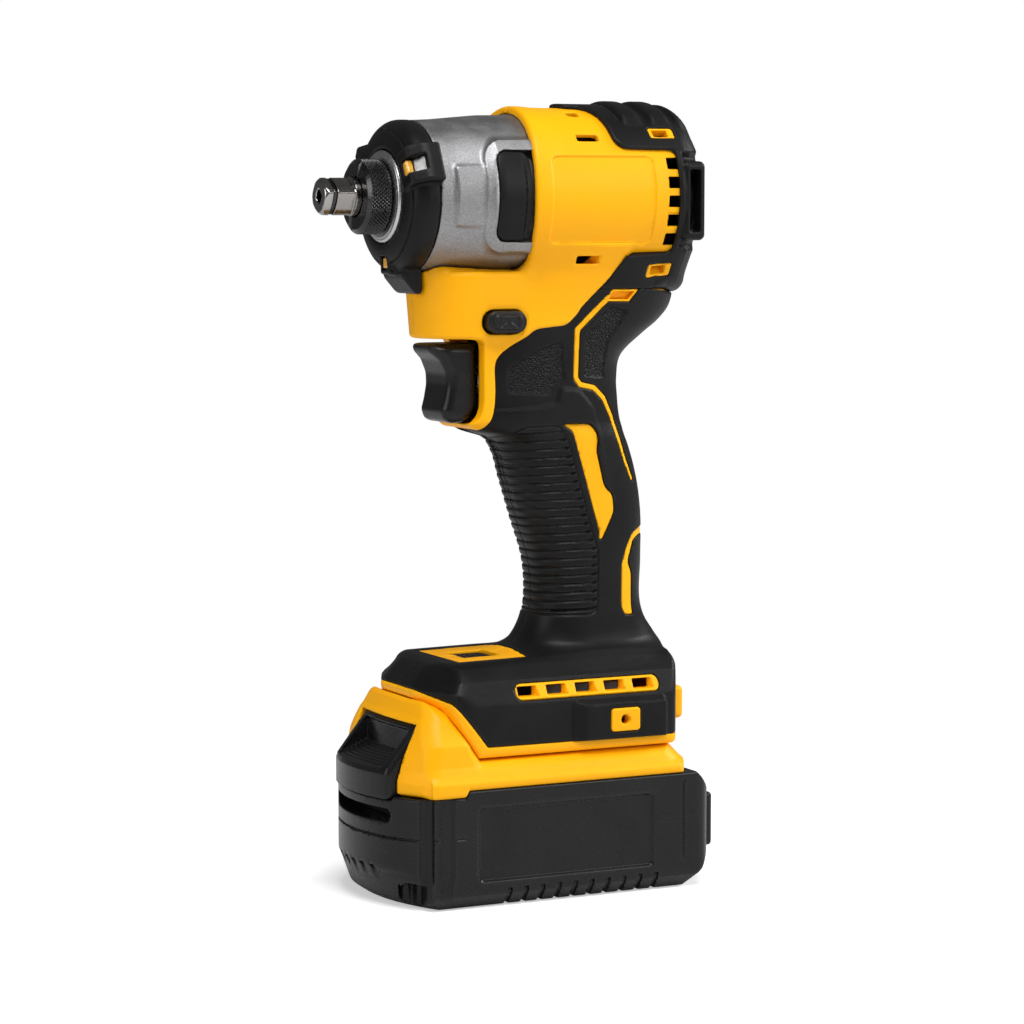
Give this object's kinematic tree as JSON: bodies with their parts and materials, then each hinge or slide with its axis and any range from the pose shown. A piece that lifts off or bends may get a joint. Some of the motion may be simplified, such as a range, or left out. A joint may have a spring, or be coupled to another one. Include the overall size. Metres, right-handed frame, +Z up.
{
  "type": "impact driver",
  "caption": "Cordless pistol-grip impact driver with a square drive, locking sleeve, trigger, direction button and slide-on battery pack.",
  "frame": {"origin": "on the flat underside of the battery pack, below the gearbox face, in the middle plane", "axes": "+X forward along the drive axis, out of the square drive; +Y to the tool's left; +Z up"},
  "size_m": [0.133, 0.071, 0.2644],
  "materials": {
    "yellow_nylon": "fine grained moulded nylon",
    "black_rubber": "soft matt over-moulded rubber",
    "black_nylon": "fine grained moulded nylon",
    "pack_black": "satin moulded plastic",
    "cast_aluminium": "bead blasted casting",
    "steel": "ground steel",
    "dark_steel": "darkened forged steel",
    "black_steel": "black oxide",
    "bronze": "sintered bronze",
    "copper": "enamelled wire",
    "board_green": "circuit board",
    "amber_lens": "clear amber lens",
    "cell_wrap": "shrink wrapped steel can, density of a cell",
    "contact_metal": "plated contact"
  },
  "bodies": {
    "housing": {"housing_left": "yellow_nylon", "housing_right": "yellow_nylon", "grip_skin_left": "black_rubber", "grip_skin_right": "black_rubber", "rear_cap": "black_nylon", "rear_bumper": "black_rubber", "gear_case": "cast_aluminium", "nose_boot": "black_rubber", "lamp_lenses": "amber_lens", "lamp_board": "board_green", "side_pads": "black_rubber", "gear_case_screws": "steel", "housing_screws": "steel", "bearing_plate": "steel", "front_bearing": "steel", "rear_bearing": "steel", "ring_gear": "steel", "anvil_bush": "bronze", "anvil_washer": "steel", "stator": "steel", "windings": "copper", "sensor_board": "board_green", "trigger_spring": "steel", "switch_body": "black_nylon", "control_board": "board_green", "heat_sink": "cast_aluminium", "terminal_block": "black_nylon", "terminal_blades": "contact_metal", "hook_inserts": "contact_metal"},
    "rotor": {"rotor_shaft": "steel", "rotor_core": "steel", "rotor_magnets": "dark_steel", "fan": "black_nylon"},
    "carrier": {"cam_carrier": "steel", "planet_pins": "steel", "cam_balls": "steel", "hammer_spring": "steel"},
    "planet_1": {"planet_gear_1": "steel"},
    "planet_2": {"planet_gear_2": "steel"},
    "planet_3": {"planet_gear_3": "steel"},
    "hammer": {"hammer": "steel"},
    "anvil": {"anvil": "dark_steel", "friction_ring": "black_rubber", "sleeve_clip": "steel", "sleeve_spring": "steel"},
    "sleeve": {"lock_sleeve": "black_steel"},
    "trigger": {"trigger": "black_nylon"},
    "direction": {"direction_button": "black_nylon"},
    "selector": {"speed_selector": "black_nylon"},
    "pack": {"pack_lower_shell": "pack_black", "pack_upper_shell": "yellow_nylon", "cells": "cell_wrap", "cell_holder": "black_nylon", "pack_board": "board_green", "pack_terminals": "contact_metal", "pack_screws": "steel", "latch_spring": "steel"},
    "latch": {"release_latch": "pack_black"}
  },
  "joints": [
    {"name": "anvil_spin", "type": "hinge", "parent": "housing", "child": "anvil", "pos_m": [0, 0, 0.233], "axis": [1, 0, 0], "continuous": true},
    {"name": "carrier_spin", "type": "hinge", "parent": "housing", "child": "carrier", "pos_m": [0, 0, 0.233], "axis": [1, 0, 0], "continuous": true},
    {"name": "rotor_spin", "type": "hinge", "parent": "housing", "child": "rotor", "pos_m": [0, 0, 0.233], "axis": [1, 0, 0], "continuous": true},
    {"name": "planet_1_spin", "type": "hinge", "parent": "carrier", "child": "planet_1", "pos_m": [0, 0, 0.2225], "axis": [1, 0, 0], "continuous": true},
    {"name": "planet_2_spin", "type": "hinge", "parent": "carrier", "child": "planet_2", "pos_m": [0, 0.00909, 0.23825], "axis": [1, 0, 0], "continuous": true},
    {"name": "planet_3_spin", "type": "hinge", "parent": "carrier", "child": "planet_3", "pos_m": [0, -0.00909, 0.23825], "axis": [1, 0, 0], "continuous": true},
    {"name": "hammer_slide", "type": "slide", "parent": "carrier", "child": "hammer", "axis": [-1, 0, 0], "range_m": [0, 0.006], "stiffness_N_per_m": 5000, "springref_m": -0.003, "deforming": ["hammer_spring"]},
    {"name": "sleeve_slide", "type": "slide", "parent": "anvil", "child": "sleeve", "axis": [1, 0, 0], "range_m": [0, 0.003], "stiffness_N_per_m": 1500, "springref_m": -0.001, "deforming": ["sleeve_spring"]},
    {"name": "trigger_pull", "type": "slide", "parent": "housing", "child": "trigger", "axis": [-1, 0, 0], "range_m": [0, 0.006], "stiffness_N_per_m": 1500, "springref_m": -0.002, "deforming": ["trigger_spring"]},
    {"name": "direction_shift", "type": "slide", "parent": "housing", "child": "direction", "axis": [0, 1, 0], "range_m": [-0.0025, 0.0025]},
    {"name": "selector_press", "type": "slide", "parent": "housing", "child": "selector", "axis": [0, 0, -1], "range_m": [0, 0.0015], "stiffness_N_per_m": 800, "springref_m": -0.0005},
    {"name": "pack_slide", "type": "slide", "parent": "housing", "child": "pack", "axis": [1, 0, 0], "range_m": [0, 0.08]},
    {"name": "latch_press", "type": "slide", "parent": "pack", "child": "latch", "axis": [-1, 0, 0], "range_m": [0, 0.0025], "stiffness_N_per_m": 1500, "springref_m": -0.001, "deforming": ["latch_spring"]}
  ],
  "couplings": [
    {"joint": "carrier_spin", "follows": "anvil_spin", "ratio": 1},
    {"joint": "rotor_spin", "follows": "anvil_spin", "ratio": 5},
    {"joint": "planet_1_spin", "follows": "anvil_spin", "ratio": -2.6667},
    {"joint": "planet_2_spin", "follows": "anvil_spin", "ratio": -2.6667},
    {"joint": "planet_3_spin", "follows": "anvil_spin", "ratio": -2.6667}
  ]
}
